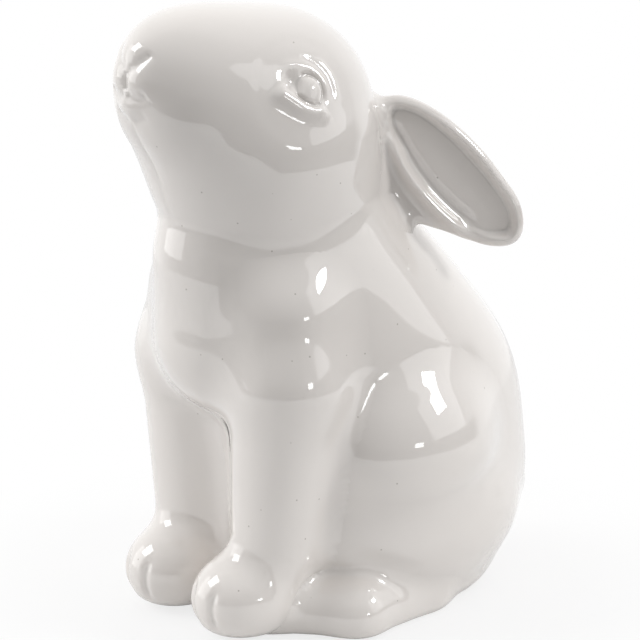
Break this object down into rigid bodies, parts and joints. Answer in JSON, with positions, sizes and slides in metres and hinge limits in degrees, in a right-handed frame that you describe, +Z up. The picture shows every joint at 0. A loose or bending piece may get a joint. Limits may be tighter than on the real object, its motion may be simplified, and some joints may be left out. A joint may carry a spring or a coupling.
{
  "type": "ceramic rabbit figurine",
  "caption": "Seated rabbit ornament in white glazed earthenware, nose raised and ears laid back, slip-cast in pieces; stands on a flat foot.",
  "frame": {"origin": "on the surface that it stands on, under the middle of the whole figure", "axes": "+Z up, -Y the way the rabbit faces, +X to the rabbit's own left"},
  "size_m": [0.064, 0.0908, 0.1171],
  "materials": {
    "white_glaze": "gloss"
  },
  "bodies": {
    "root": {"torso": "white_glaze", "head": "white_glaze", "tail": "white_glaze", "left_ear": "white_glaze", "right_ear": "white_glaze", "left_foreleg": "white_glaze", "right_foreleg": "white_glaze", "left_haunch": "white_glaze", "right_haunch": "white_glaze", "left_hind_foot": "white_glaze", "right_hind_foot": "white_glaze"}
  },
  "joints": []
}
